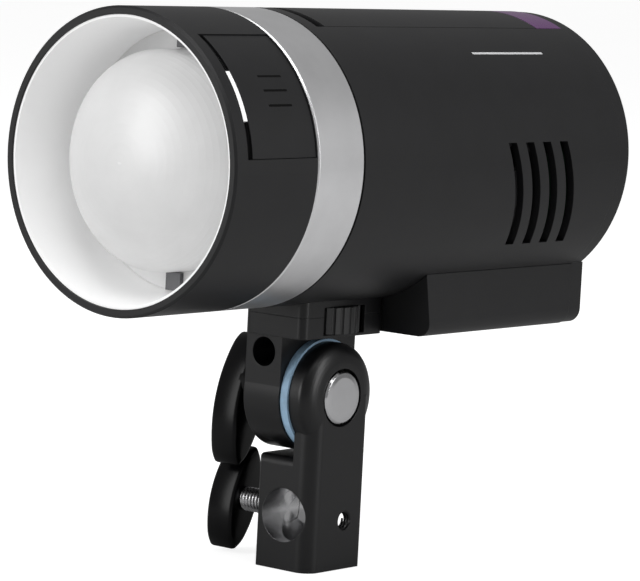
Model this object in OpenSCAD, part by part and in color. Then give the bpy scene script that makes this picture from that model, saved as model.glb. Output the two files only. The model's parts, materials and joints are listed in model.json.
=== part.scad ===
// Compact battery monolight: a round studio flash head on a tilting stand bracket.
// Millimetres, +Z up. The light faces -Y and tilts about an axis along X.
// The origin is the mouth of the stand socket, on its axis.

/* [Head shells] */
// Outside diameter of the round body
body_d = 89; // [87:0.5:94]
// Wall of the round shells
shell_wall = 2.4; // [2:0.1:2.8]
// Length of the black front barrel
barrel_len = 35.4; // [35:0.2:42]
// Length of the silver ring
ring_len = 21; // [16:0.5:26]
// Shadow gap between the silver ring and the body tube
ring_gap = 0.6; // [0.4:0.1:1]
// Length of the body tube
tube_len = 127.6; // [126:0.2:140]
// Thickness of the rear cover over its rim
cover_len = 6.4; // [6.2:0.2:8]
// Play left between two fixed pieces of the head
seat_gap = 0.1; // [0.05:0.05:0.2]

/* [Front opening] */
// Width of the white liner's front edge
lip_w = 0.8; // [0.6:0.1:1.2]
// Distance of the liner's front edge behind the rim
lip_back = 0.6; // [0.4:0.1:1.2]
// Length of the straight lead-in behind that edge
lead_len = 3.6; // [2:0.2:4]
// Depth of the glass dome's flange behind the front
flange_depth = 27.2; // [26:0.2:28]
// Radius of the glass dome where it leaves its flange
dome_r = 32.2; // [28:0.2:33]
// Height of the dome's rounded cap
dome_cap = 17.5; // [14:0.5:19]
// Distance the dome's top stays behind the rim
dome_recess = 0.6; // [0.4:0.2:6]
// Thickness of the glass
glass_wall = 1.8; // [1.4:0.1:2.2]

/* [Side panel] */
// Lower edge of the side panel, as an angle up from the side
panel_low = 5.5; // [4:0.5:10]
// Upper edge of the side panel
panel_high = 58.5; // [50:0.5:62]
// Depth the panel lies below the barrel's skin
panel_drop = 0.35; // [0.2:0.05:0.6]
// Width of the slot in front of the panel
slot_w = 2.3; // [1.6:0.1:2.6]
// Distance of the slot behind the front
slot_back = 5; // [4:0.2:6]

/* [Under body] */
// Width of the housing under the body
chin_w = 57; // [56.6:0.2:60]
// Drop of that housing below the round body
chin_drop = 9.5; // [9:0.1:12]
// Distance of its front behind the front rim
chin_back = 109.5; // [109.4:0.2:112]
// Slope of its front, top to bottom
chin_slope = 3.5; // [2:0.5:5]
// Radius of its lower corners
chin_r = 5; // [3:0.5:6]
// Width of one vent slot
vent_w = 4.2; // [3:0.2:4.6]
// Spacing of the vent slots
vent_pitch = 8.8; // [7.6:0.2:9.4]
// Height of the vent slots
vent_h = 32.2; // [24:0.2:34]
// Distance of the first vent slot's top behind the front rim
vent_back = 126.2; // [122:0.2:128]
// Slant of the slots, top to bottom
vent_slant = 11.2; // [0:0.2:12]

/* [Battery] */
// Width of the battery pack
batt_w = 38.2; // [38:0.1:38.8]
// Height of the pack from its floor to the top of the body
batt_h = 42.2; // [42:0.1:43]
// Length of the black part of the pack
batt_len = 104.8; // [90:0.2:104.8]
// Distance of the pack behind the front rim
batt_back = 66; // [65.6:0.2:68]
// Width of the finger groove in front of the pack
groove_w = 4; // [3:0.2:4.4]
// Play round the pack in its bay
batt_play = 0.3; // [0.2:0.05:0.4]
// Diameter of one battery cell
cell_d = 18.2; // [18:0.1:18.2]
// Length of one battery cell
cell_len = 65; // [60:1:70]

/* [Rear controls] */
// Width of the display window
lcd_w = 46; // [40:0.5:46]
// Height of the display window
lcd_h = 26; // [20:0.5:26]
// Radius of the rotary dial
dial_r = 12.5; // [11:0.5:13]
// Height of the dial above the cover
dial_h = 5; // [4:0.5:7]
// Radius of the small push buttons
button_r = 3.2; // [2.6:0.1:3.4]
// Radius of the two large push buttons
big_button_r = 4.2; // [3.6:0.1:4.6]
// Travel of the push buttons
button_travel = 0.6; // [0.4:0.1:0.6]
// Play round a moving button
button_play = 0.15; // [0.1:0.05:0.2]

/* [Tilt bracket] */
// Distance of the tilt axis behind the front rim
pivot_back = 91.5; // [91.2:0.2:92]
// Distance from the round body down to the tilt axis
pivot_gap = 28.3; // [28.3:0.1:30]
// Height of the tilt axis above the stand socket's mouth
pivot_h = 53.2; // [53.2:0.2:58]
// Sideways offset of the light's axis from the stand
light_x = -2; // [-2.4:0.2:-1.6]
// Width of the plate under the body
plate_w = 23.5; // [22:0.5:24]
// Length of the plate under the body
plate_len = 38.5; // [37:0.5:38.5]
// Thickness of the plate
plate_t = 6.5; // [6:0.1:7]
// Radius of the locking wheel
wheel_r = 13.8; // [13:0.1:14.2]
// Height of the locking wheel
wheel_h = 8.1; // [7:0.1:8.1]
// Radius of the locking wheel's screw
wheel_screw_r = 4.7; // [4:0.1:5]
// Thickness of the tilting block along X
block_w = 13.95; // [13.5:0.05:14.5]
// Half the length of the tilting block
block_half = 17.5; // [17:0.1:17.6]
// Radius of the tilting block's round foot
block_r = 17.8; // [17.6:0.1:17.9]
// Radius of the umbrella shaft hole
umbrella_r = 4.45; // [4:0.05:4.6]
// Radius of the tilt bolt
bolt_r = 4; // [3.5:0.1:4.5]
// Running clearance round shafts
run_gap = 0.05; // [0.03:0.01:0.09]
// Thickness of the blue friction washer
washer_t = 2.7; // [2:0.1:3]
// Radius of the friction washer
washer_r = 17.2; // [16:0.1:17.4]

/* [Stand socket] */
// Width of the stand block along X
stand_w = 21; // [20.6:0.1:23]
// Depth of the stand block along Y
stand_d = 25.5; // [24:0.1:27]
// Radius of the stand socket
socket_r = 8.25; // [8:0.05:8.4]
// Depth of the stand socket
socket_len = 28; // [27:0.5:29]
// Radius of the cross hole for a level stud
cross_r = 8.25; // [8:0.05:8.4]
// Height of the cross hole's axis
cross_h = 16.8; // [16:0.1:17.4]
// Radius of the arm's round head
arm_r = 16.5; // [15:0.1:17]
// Width of the arm's flat edge
arm_edge = 3.8; // [3:0.1:4.5]
// Radius of the block's near corner
near_r = 5; // [3:0.5:5.5]
// Radius of the threaded hole in the block's side
side_hole_r = 3; // [2.5:0.05:3.2]
// Radius of the stand lock screw
lock_r = 3.8; // [3:0.1:4]
// Radius of the lock screw's pressure shoe
shoe_r = 4.9; // [4.5:0.1:5]

/* [Levers] */
// Thickness of both levers along X
lever_t = 10.5; // [9:0.5:11]
// Length of the tilt lever's short end
tilt_lever_up = 15.5; // [14:0.5:16]
// Length of the tilt lever's long end
tilt_lever_down = 26; // [24:0.5:27]
// Half the width of the tilt lever
tilt_lever_half = 6.8; // [6:0.1:7.2]
// Lean of the tilt lever, foot forward
tilt_lean = 14; // [12:1:16]
// Half the length of the stand lever
stand_lever_half = 16.3; // [15:0.1:16.4]
// Half the width of the stand lever
stand_lever_w = 6.2; // [5.5:0.1:6.5]
// Lean of the stand lever, foot forward
stand_lean = 15.5; // [14:0.5:20]

/* [Hidden] */
$fn = 96;
body_r = body_d / 2;
inner_r = body_r - shell_wall;
core_r = inner_r - seat_gap;
over = 1;

// Stations along the light, counted back from the front rim
ring_at = barrel_len;
tube_at = ring_at + ring_len + ring_gap;
seam_at = tube_at + tube_len;
rear_at = seam_at + cover_len;

// Heights in the row's frame
light_z = pivot_h + pivot_gap + body_r;
front_y = -pivot_back;
chin_low = -body_r - chin_drop;

// Front piece sizes
liner_r = core_r;
seat_r = inner_r - 3.7;
flange_r = seat_r - 0.2;
flange_t = 1.8;
liner_end = flange_depth + flange_t + 1.7;
liner_lip_r = dome_r + 1.2;
cap_at = dome_recess + dome_cap;
cap_steps = 18;
clip_at = 30.5;
clip_size = [5.6, 1.4, 2.6];
base_at = liner_end + seat_gap;
base_t = 3.8;
tube_ring_r = 13;
tube_ring_at = 14;
tube_glass_r = 2.9;
tube_leg_r = 3.4;
tube_leg_angle = 60;
led_r = 7;
sink_at = base_at + base_t + seat_gap;
sink_r = 33;
sink_fin_t = 1.6;
sink_fin_pitch = 6;
sink_fins = 9;
sink_base_t = 3;
sink_end = tube_at - 2;
collar_wall = 2.4;
collar_end = tube_at + 3;
slot_end = slot_back + slot_w;
window_low = 19.5;
window_high = 40;
window_drop = 0.4;
pocket_t = 1.2;
ring_chamfer = 1;
rim_chamfer = 0.7;
lead_at = lip_back + lead_len;
lead_r = liner_r - lip_w - 0.5;

// Under body and vents
chin_half = chin_w / 2;
chin_wall = 2.4;
chin_top = -33.2;
chin_ledge = 0.8;
post_r = 3;
post_len = 14;
post_rib_t = 2;
caps_r = 12.4;
caps_z = chin_low + chin_wall + seat_gap + caps_r + 0.3;
caps_x = caps_r + 0.5;
caps_at = chin_back + chin_slope + 3;
caps_len = seam_at - caps_at - post_len - 1;
vent_top = 6.7;
tray_t = 1.6;
tray_z = caps_z + caps_r + 0.3;
tray_top = tray_z + tray_t;
tray_half = sqrt(core_r * core_r - tray_z * tray_z) - 0.2;
tray_at = collar_end + 1;
tray_end = seam_at - 4;
post_h = 3;
board_t = 1.6;

// Battery
batt_low = body_r - batt_h;
batt_end = batt_back + batt_len;
bay_half = batt_w / 2 + batt_play;
bay_wall = 1.3;
bay_floor = 1.4;
bay_low = batt_low - batt_play - bay_floor;
bay_at = batt_back - groove_w;
bay_end = seam_at - 0.3;
bay_top = sqrt(core_r * core_r - pow(bay_half + bay_wall, 2)) - 0.1;
case_wall = (batt_w - 2 * cell_d) / 2 - 0.1;
case_split = batt_low + 28;
cell_r = cell_d / 2;
cell_x = cell_r + 0.03;
cell_top_z = sqrt(pow(body_r - 1.4 - cell_r, 2) - cell_x * cell_x);
cell_low_z = cell_top_z - cell_d - 0.05;
cells_at = batt_back + 6;
contact_at = batt_end - 14;
release_at = batt_end + 0.4;
release_end = seam_at - 0.2;
release_t = 3;
release_travel = 1.5;
release_stem_r = 3;
release_stem_low = 16;
release_guide_top = body_r - release_t - release_travel - 4.2;
release_mid = (release_at + release_end) / 2;

// Fan
fan_size = 30;
fan_t = 10;
fan_x = bay_half + bay_wall + 0.6;
fan_at = vent_back + (3 * vent_pitch + vent_w + vent_slant) / 2;
fan_z = tray_top + fan_size / 2;
fan_hole_r = 14;
fan_tip_r = 13.4;
fan_hub_r = 6;
fan_pin_r = 1;
fan_blades = 7;
fan_back_t = 1.6;

// Power parts
power_at = tray_at + 3;
power_len = 46;
power_half = 17;
power_z = tray_top + post_h;
coil_len = 24;
coil_w = 20;
coil_h = 11;

// Rear cover and controls
cover_r = body_r - 0.2;
cover_inset = 0.2;
cover_plate = 2;
cover_wall = 2.4;
plate_at = rear_at - cover_plate;
cover_round = 1.1;
board_at = seam_at + 0.2;
panel_board_t = 1.2;
board_back = board_at + panel_board_t;
board_r = cover_r - cover_wall - 0.3;
board_low = -38;
lcd_z = 16;
lcd_ledge = 2;
lcd_glass_t = 1.3;
lcd_body_t = plate_at - board_back - 0.3;
dial_z = -24;
dial_sleeve_r = 8.2;
dial_bore_r = 7;
set_r = 6.85;
dial_gap = 0.3;
button_row_z = -4.6;
button_row_x = [-19.5, -6.5, 6.5, 19.5];
big_button_x = 23.5;
big_button_z = -20;
button_proud = 0.8;
flange_w = 0.9;
flange_len = plate_at - 0.2 - (board_back + button_travel + 0.75);
switch_t = 0.6;
port_z = chin_low + chin_wall + 5;
usb_x = -9;
usb_w = 9;
usb_h = 3.4;
jack_x = 7;
jack_r = 3.3;
jack_bore = 1.75;
port_len = 10;
port_cover_w = 33;
port_cover_h = 9;
port_cover_t = 1.4;
port_pin_r = 0.9;
screw_r = 1.3;
screw_head_r = 2.5;
screw_head_t = 1.4;
screw_len = 9;
side_screw = [36.6, 9];
low_screw = [22.8, chin_low + 7.2];

// Bracket under the head
plate_x0 = light_x - plate_w / 2;
plate_x1 = light_x + plate_w / 2;
plate_z0 = pivot_h + 18.6;
plate_z1 = plate_z0 + plate_t;
plate_floor = 0.9;
plate_corner = 2.5;
wheel_z0 = plate_z0 + plate_floor + 0.15;
wheel_z1 = wheel_z0 + wheel_h;
wheel_room_z1 = wheel_z1 + 0.2;
wheel_room_r = wheel_r + 0.5;
wheel_window = 9.75;
wheel_grooves = 28;
wheel_groove_r = 0.75;
boss_z1 = light_z - inner_r + 4.4;
insert_r = 7.5;
insert_z0 = wheel_room_z1 + 0.9;
wheel_screw_top = boss_z1 - 1;

// Tilt joint, from the lever side to the arm side
block_x1 = plate_x0 + block_w;
face_gap = 0.08;
washer_x0 = block_x1 + face_gap;
arm_x0 = washer_x0 + washer_t;
arm_x1 = stand_w / 2;
arm_flat_x = arm_x0 + arm_edge;
cap_r = 8.15;
cap_ring = 0.75;
cap_depth = 3.2;
cap_proud = 0.5;
umbrella_x = light_x - 4.75;
umbrella_z = pivot_h + 13.3;
umbrella_screw_r = 2;
umbrella_knob_r = 3.8;
umbrella_knob_t = 4.6;
umbrella_knob_gap = 0.4;
tilt_lever_x1 = plate_x0 - 10.05;
tilt_lever_x0 = tilt_lever_x1 - lever_t;
tilt_hub_r = 7.4;
nut_r = 6;
nut_t = 5.5;
bolt_x0 = tilt_lever_x0 + 3;

// Stand block
arm_flat_r = cap_r + 1.6;
arm_steps = 10;
stand_half = stand_w / 2;
depth_half = stand_d / 2;
stand_top = pivot_h - block_r - 0.8;
lock_z = cross_h + 0.2;
lock_boss_r = 6;
lock_boss_x = -stand_half - 4;
lock_pitch = 1.25;
lock_turn = 110;
lock_travel = lock_pitch * lock_turn / 360;
shoe_x0 = -socket_r - 1.25;
shoe_play = 0.08;
side_hole_y = 4;
side_hole_z = 15;
stand_lever_x1 = -stand_half - 15;
stand_lever_x0 = stand_lever_x1 - lever_t;
lock_x0 = stand_lever_x0 + 3;

// Outlines in the light's own section: x across, y up, both from its axis,
// carried from one station to another along the light.
module along(from, to) {
    translate([light_x, front_y + to, light_z])
        rotate([90, 0, 0])
            linear_extrude(to - from)
                children();
}

// A turned piece: the outline's x is the radius and its y the station.
module turned() {
    translate([light_x, front_y, light_z])
        rotate([-90, 0, 0])
            rotate_extrude()
                children();
}

// Outlines in the side view: x is row Y and y is row Z, carried along X.
module across(from, to) {
    translate([from, 0, 0])
        rotate([90, 0, 90])
            linear_extrude(to - from)
                children();
}

// Outlines in the side view of the head: x is the station, y the height from the axis.
module across_head(from, to) {
    translate([light_x, front_y, light_z])
        across(from, to)
            children();
}

// A cylinder along X.
module rod_x(r, from, to, y, z) {
    translate([from, y, z])
        rotate([0, 90, 0])
            cylinder(r = r, h = to - from);
}

// A block in the head's frame: x across, station and height, low and high corners.
module head_block(x, at, z) {
    translate([light_x + x[0], front_y + at[0], light_z + z[0]])
        cube([x[1] - x[0], at[1] - at[0], z[1] - z[0]]);
}

module ring2d(outer, inner) {
    difference() {
        circle(r = outer);
        circle(r = inner);
    }
}

// A wedge between two angles that are less than 120 degrees apart.
module wedge(low, high, r) {
    mid = (low + high) / 2;
    polygon([[0, 0],
        [r * cos(low), r * sin(low)],
        [1.6 * r * cos(mid), 1.6 * r * sin(mid)],
        [r * cos(high), r * sin(high)]]);
}

// A rectangle about the origin with round corners.
module round_rect(w, h, r) {
    square([w - 2 * r, h], center = true);
    square([w, h - 2 * r], center = true);
    for (x = [-1, 1])
        for (y = [-1, 1])
            translate([x * (w / 2 - r), y * (h / 2 - r)])
                circle(r = r);
}

// What a round corner removes, for a corner at the origin of the first quadrant.
module corner_waste(r) {
    difference() {
        translate([-over, -over])
            square(r + over);
        translate([r, r])
            circle(r = r);
    }
}

// The section of the housing under the body.
module chin_outline(inset) {
    half = chin_half - inset;
    low = chin_low + inset;
    r = chin_r - inset;
    difference() {
        translate([-half, low])
            square([2 * half, chin_top - low]);
        for (side = [0, 1])
            mirror([side, 0])
                translate([-half, low])
                    corner_waste(r);
    }
}

// Half of the dome's outline, from its top back to its flange.
function cap_points(r, h, at) =
    [for (i = [0 : cap_steps]) [r * sin(90 * i / cap_steps), at - h * cos(90 * i / cap_steps)]];

module front_barrel() color("#26262a") {
    difference() {
        turned()
            polygon([[inner_r, 0], [body_r - rim_chamfer, 0], [body_r, rim_chamfer], [body_r, ring_at],
                [inner_r, ring_at]]);
        along(slot_end, ring_at - 0.4)
            intersection() {
                ring2d(body_r + over, body_r - pocket_t);
                wedge(panel_low, panel_high, 2 * body_r);
            }
        along(slot_back, slot_end + 0.01)
            intersection() {
                ring2d(body_r + over, body_r - 1.7);
                wedge(panel_low, panel_high, 2 * body_r);
            }
        along(slot_back, slot_end)
            intersection() {
                ring2d(body_r + over, inner_r - over);
                wedge(window_low, window_high, 2 * body_r);
            }
    }
}

module side_panel() color("#2d2d31") {
    along(slot_end + seat_gap, ring_at - 0.5)
        intersection() {
            ring2d(body_r - panel_drop, body_r - pocket_t + 0.06);
            wedge(panel_low + 0.2, panel_high - 0.2, 2 * body_r);
        }
}

module silver_ring() color("#c9cbce") {
    turned()
        polygon([[inner_r, ring_at], [body_r - ring_chamfer, ring_at], [body_r, ring_at + ring_chamfer],
            [body_r, ring_at + ring_len - 0.3], [body_r - 0.3, ring_at + ring_len],
            [inner_r, ring_at + ring_len]]);
}

module reflector_liner() color("#f2f2f0") {
    turned()
        polygon([[liner_r - lip_w, lip_back], [liner_r, lip_back], [liner_r, liner_end],
            [liner_lip_r, liner_end], [liner_lip_r, flange_depth + flange_t],
            [seat_r, flange_depth + flange_t], [seat_r, flange_depth], [lead_r, lead_at]]);
    along(slot_back + seat_gap, slot_end - seat_gap)
        intersection() {
            ring2d(body_r - window_drop, liner_r - 0.3);
            wedge(window_low + 0.2, window_high - 0.2, 2 * body_r);
        }
}

module glass_dome() color("#f7f7f4", 0.9) {
    turned()
        difference() {
            union() {
                polygon(concat(cap_points(dome_r, dome_cap, cap_at),
                    [[dome_r, flange_depth + flange_t], [0, flange_depth + flange_t]]));
                translate([0, flange_depth])
                    square([flange_r, flange_t]);
            }
            polygon(concat(cap_points(dome_r - glass_wall, dome_cap - glass_wall, cap_at),
                [[dome_r - glass_wall, liner_end + over], [0, liner_end + over]]));
        }
}

module dome_clips() color("#3a3a3c") {
    for (turn = [0 : 90 : 270])
        translate([light_x, front_y + flange_depth - clip_size[1], light_z])
            rotate([0, turn, 0])
                translate([-clip_size[0] / 2, 0, dome_r + 0.4])
                    cube([clip_size[0], clip_size[1], flange_r - dome_r - 0.6]);
}

module flash_tube() color("#e8eef2") {
    translate([light_x, front_y + tube_ring_at, light_z])
        rotate([-90, 0, 0]) {
            rotate([0, 0, 90 + tube_leg_angle / 2])
                rotate_extrude(angle = 360 - tube_leg_angle)
                    translate([tube_ring_r, 0])
                        circle(r = tube_glass_r);
            for (turn = [-1, 1])
                rotate([0, 0, 90 + turn * tube_leg_angle / 2])
                    translate([tube_ring_r, 0, -tube_leg_r])
                        cylinder(r = tube_leg_r, h = base_at + 2.8 + tube_leg_r - tube_ring_at);
        }
}

module modelling_led() color("#f4e08a") {
    turned()
        polygon([[0, base_at - 3], [led_r - 2.5, base_at - 3], [led_r - 2, base_at - 1.5],
            [led_r, base_at - 1.5], [led_r, base_at], [0, base_at]]);
}

module lamp_base() color("#e6e6e2") {
    difference() {
        turned()
            translate([0, base_at])
                square([core_r - 0.1, base_t]);
        for (turn = [-1, 1])
            translate([light_x, front_y + base_at - over, light_z])
                rotate([-90, 0, 0])
                    rotate([0, 0, 90 + turn * tube_leg_angle / 2])
                        translate([tube_ring_r, 0, 0])
                            cylinder(r = tube_leg_r + 0.1, h = 3 + over);
    }
}

module led_heatsink() color("#9fa3a8") {
    along(sink_at, sink_at + sink_base_t)
        circle(r = sink_r);
    along(sink_at + sink_base_t, sink_end)
        intersection() {
            circle(r = sink_r);
            for (i = [0 : sink_fins - 1])
                translate([(i - (sink_fins - 1) / 2) * sink_fin_pitch - sink_fin_t / 2, -sink_r])
                    square([sink_fin_t, 2 * sink_r]);
        }
}

module chassis_collar() color("#1d1d1f") {
    turned()
        translate([core_r - collar_wall, sink_at])
            square([collar_wall, collar_end - sink_at]);
}

module body_tube() color("#242427") {
    difference() {
        along(tube_at, seam_at)
            ring2d(body_r, inner_r);
        head_block([-bay_half, bay_half], [bay_at, seam_at + over], [0, body_r + over]);
        head_block([-caps_x - caps_r - 0.4, caps_x + caps_r + 0.4], [caps_at - 1, seam_at + over],
            [-body_r - over, -inner_r + 14]);
        for (side = [0, 1])
            translate([light_x, 0, 0])
                mirror([side, 0, 0])
                    translate([-light_x, 0, 0])
                        vents();
        mount_hole(seat_gap);
    }
    for (side = [0, 1])
        translate([light_x, 0, 0])
            mirror([side, 0, 0])
                translate([-light_x, 0, 0])
                    cover_post(side_screw, atan2(side_screw[1], side_screw[0]),
                        body_r - shell_wall / 2 - norm(side_screw));
}

module vents() {
    for (i = [0 : 3])
        across_head(body_r / 2, body_r + over)
            translate([vent_back + i * vent_pitch, vent_top])
                polygon([[0, 0], [vent_w, 0], [vent_w + vent_slant, -vent_h], [vent_slant, -vent_h]]);
}

// The room in the body's floor for the mount boss, grown by a gap.
module mount_hole(gap) {
    translate([light_x, 0, plate_z1 - over])
        linear_extrude(boss_z1 + over - plate_z1)
            round_rect(plate_w + 2 * gap, plate_len + 2 * gap, plate_corner + gap);
}

// A post that a rear cover screw goes into, at [across, up], held by a rib that reaches the shell.
module cover_post(at, turn, reach) {
    difference() {
        union() {
            along(seam_at - post_len, seam_at - 0.1)
                translate(at)
                    circle(r = post_r);
            along(seam_at - post_len, board_at - 1)
                translate(at)
                    rotate(turn)
                        translate([0, -post_rib_t / 2])
                            square([reach, post_rib_t]);
        }
        along(seam_at - post_len + 2, seam_at)
            translate(at)
                circle(r = screw_r + 0.05);
    }
}

module chin_housing() color("#242427") {
    difference() {
        intersection() {
            along(chin_back, seam_at)
                difference() {
                    chin_outline(0);
                    circle(r = body_r + 0.06);
                }
            across_head(-body_r, body_r)
                polygon([[chin_back, chin_top + over],
                    [chin_back, -body_r + chin_drop],
                    [chin_back + chin_slope, chin_low - over],
                    [seam_at, chin_low - over], [seam_at, chin_top + over]]);
        }
        along(chin_back + chin_slope + chin_wall, seam_at + over)
            translate([0, -0.01])
                chin_outline(chin_wall);
    }
    for (side = [0, 1])
        translate([light_x, 0, 0])
            mirror([side, 0, 0])
                translate([-light_x, 0, 0])
                    cover_post(low_screw, 0, chin_half - chin_wall / 2 - low_screw[0]);
}

module chassis_tray() color("#8f9399") {
    difference() {
        head_block([-tray_half, tray_half], [tray_at, tray_end], [tray_z, tray_top]);
        for (side = [-1, 1])
            head_block([side * tray_half - 3, side * tray_half + 3], [tray_end - 30, tray_end + over],
                [tray_z - over, tray_top + over]);
    }
    for (x = [-1, 1])
        for (at = [power_at + 3, power_at + power_len - 3])
            translate([light_x + x * (power_half - 3), front_y + at, light_z + tray_top])
                cylinder(r = 2, h = post_h);
}

module power_board() color("#1f5b3a") {
    head_block([-power_half, power_half], [power_at, power_at + power_len], [power_z, power_z + board_t]);
}

module transformer() color("#c9a227") {
    mid = power_at + power_len / 2;
    low = power_z + board_t;
    head_block([-coil_w / 2, coil_w / 2], [mid - coil_len / 2, mid - coil_len / 2 + 4], [low, low + coil_h]);
    head_block([-coil_w / 2, coil_w / 2], [mid + coil_len / 2 - 4, mid + coil_len / 2], [low, low + coil_h]);
    head_block([-coil_w / 2 + 2, coil_w / 2 - 2], [mid - coil_len / 2 + 4, mid + coil_len / 2 - 4],
        [low + 1, low + coil_h - 1]);
}

module main_capacitors() color("#2b3f66") {
    for (side = [-1, 1])
        along(caps_at, caps_at + caps_len)
            translate([side * caps_x, caps_z])
                circle(r = caps_r);
}

module fan_frame() color("#151517") {
    y = front_y + fan_at;
    z = light_z + fan_z;
    difference() {
        translate([light_x + fan_x, y - fan_size / 2, z - fan_size / 2 + 0.02])
            cube([fan_t, fan_size, fan_size - 0.02]);
        rod_x(fan_hole_r, light_x + fan_x - over, light_x + fan_x + fan_t + over, y, z);
    }
    for (turn = [0, 90])
        translate([light_x + fan_x, y, z])
            rotate([turn, 0, 0])
                translate([0, -fan_hole_r - 0.5, -1.2])
                    cube([fan_back_t, 2 * fan_hole_r + 1, 2.4]);
    rod_x(fan_hub_r, light_x + fan_x, light_x + fan_x + fan_back_t, y, z);
    rod_x(fan_pin_r, light_x + fan_x, light_x + fan_x + fan_t - 1, y, z);
}

module fan_rotor() color("#2c2c30") {
    y = front_y + fan_at;
    z = light_z + fan_z;
    low = light_x + fan_x + fan_back_t + 0.3;
    high = light_x + fan_x + fan_t - 0.5;
    difference() {
        union() {
            rod_x(fan_hub_r, low, high, y, z);
            for (i = [0 : fan_blades - 1])
                translate([(low + high) / 2, y, z])
                    rotate([i * 360 / fan_blades, 0, 0])
                        rotate([0, 0, 35])
                            translate([-0.5, -3.2, 0])
                                intersection() {
                                    cube([1, 6.4, fan_tip_r - 0.5]);
                                    translate([-3, 3.2, 0])
                                        rotate([0, 90, 0])
                                            cylinder(r = fan_tip_r - 0.4, h = 8);
                                }
        }
        rod_x(fan_pin_r + run_gap, low - over, high + over, y, z);
    }
}

module battery_bay() color("#1b1b1d") {
    head_block([-bay_half - bay_wall, bay_half + bay_wall], [bay_at - bay_wall, bay_end],
        [bay_low, bay_low + bay_floor]);
    for (side = [-1, 1])
        head_block([side * (bay_half + bay_wall / 2) - bay_wall / 2, side * (bay_half + bay_wall / 2) + bay_wall / 2],
            [bay_at - bay_wall, bay_end], [bay_low, bay_top]);
    head_block([-bay_half, bay_half], [bay_at - bay_wall, bay_at], [bay_low, bay_top]);
    head_block([-bay_half, bay_half], [bay_at, batt_back - batt_play], [bay_low, bay_top - 5]);
    difference() {
        head_block([-8, 8], [release_mid - 5, release_mid + 5], [bay_low, release_guide_top]);
        translate([light_x, front_y + release_mid, light_z + release_stem_low - release_travel - 1])
            cylinder(r = release_stem_r + 0.1, h = body_r);
    }
}

module bay_contacts() color("#c8a24a") {
    for (i = [-2 : 2])
        head_block([i * 6 - 1.5, i * 6 + 1.5], [contact_at, contact_at + 8],
            [bay_low + bay_floor, bay_low + bay_floor + batt_play - 0.05]);
}

module battery_outline(inset) {
    intersection() {
        circle(r = body_r - inset);
        translate([-batt_w / 2 + inset, batt_low + inset])
            square([batt_w - 2 * inset, batt_h]);
    }
}

module battery_block(inset) {
    along(batt_back + inset, batt_end - inset)
        battery_outline(inset);
}

module battery_case() color("#1f1f22") {
    difference() {
        battery_block(0);
        battery_block(case_wall);
        head_block([-batt_w, batt_w], [batt_back - over, batt_end + over], [case_split, body_r + over]);
    }
}

module battery_lid() color("#232326") {
    difference() {
        battery_block(0);
        battery_block(case_wall);
        head_block([-batt_w, batt_w], [batt_back - over, batt_end + over], [batt_low - over, case_split]);
    }
}

module battery_cells() color("#3c74b8") {
    for (x = [-cell_x, cell_x])
        for (z = [cell_top_z, cell_low_z])
            along(cells_at, cells_at + cell_len)
                translate([x, z])
                    circle(r = cell_r);
}

module battery_release() color("#4b2354") {
    along(release_at, release_end)
        intersection() {
            ring2d(body_r, body_r - release_t);
            translate([-batt_w / 2, 0])
                square([batt_w, body_r]);
        }
    translate([light_x, front_y + release_mid, light_z + release_stem_low])
        cylinder(r = release_stem_r, h = body_r - release_t / 2 - release_stem_low);
}

module rear_cover() color("#26262a") {
    difference() {
        union() {
            turned()
                polygon([[0, seam_at], [cover_r, seam_at], [cover_r, rear_at - cover_round],
                    [cover_r - 0.4, rear_at - 0.4], [cover_r - cover_round, rear_at], [0, rear_at]]);
            along(seam_at, rear_at)
                intersection() {
                    chin_outline(cover_inset);
                    translate([-body_r, chin_low])
                        square([2 * body_r, 20]);
                }
        }
        along(seam_at - over, plate_at)
            difference() {
                union() {
                    circle(r = cover_r - cover_wall);
                    chin_outline(cover_inset + cover_wall);
                }
                for (side = [-1, 1]) {
                    translate([side * side_screw[0], side_screw[1]])
                        circle(r = post_r);
                    translate([side * low_screw[0], low_screw[1]])
                        circle(r = post_r);
                }
            }
        along(plate_at - over, rear_at + over)
            translate([0, lcd_z])
                round_rect(lcd_w - 2 * lcd_ledge, lcd_h - 2 * lcd_ledge, 1);
        along(rear_at - lcd_glass_t - 0.2, rear_at + over)
            translate([0, lcd_z])
                round_rect(lcd_w + 2 * seat_gap, lcd_h + 2 * seat_gap, 2);
        along(seam_at - over, rear_at + over) {
            translate([0, dial_z])
                circle(r = dial_sleeve_r + run_gap);
            for (x = button_row_x)
                translate([x, button_row_z])
                    circle(r = button_r + button_play);
            for (side = [-1, 1])
                translate([side * big_button_x, big_button_z])
                    circle(r = big_button_r + button_play);
            translate([usb_x, port_z])
                square([usb_w + 0.2, usb_h + 0.2], center = true);
            translate([jack_x, port_z])
                circle(r = jack_r + 0.1);
            for (side = [-1, 1]) {
                translate([side * side_screw[0], side_screw[1]])
                    circle(r = screw_r + 0.05);
                translate([side * low_screw[0], low_screw[1]])
                    circle(r = screw_r + 0.05);
            }
        }
        along(rear_at - screw_head_t, rear_at + over)
            for (side = [-1, 1]) {
                translate([side * side_screw[0], side_screw[1]])
                    circle(r = screw_head_r + 0.1);
                translate([side * low_screw[0], low_screw[1]])
                    circle(r = screw_head_r + 0.1);
            }
    }
    for (side = [-1, 1])
        difference() {
            head_block([side * (port_cover_w / 2 + 1.2) - 1, side * (port_cover_w / 2 + 1.2) + 1],
                [rear_at - 0.01, rear_at + 2.4], [port_z - port_cover_h / 2 - 1, port_z - port_cover_h / 2 + 1.6]);
            rod_x(port_pin_r + run_gap, light_x - chin_w, light_x + chin_w, front_y + rear_at + 1.2,
                light_z + port_z - port_cover_h / 2 + 0.3);
        }
}

module lcd_window() color("#0c0d10", 0.8) {
    along(rear_at - lcd_glass_t - 0.2, rear_at - 0.2)
        translate([0, lcd_z])
            round_rect(lcd_w, lcd_h, 1.9);
}

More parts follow.
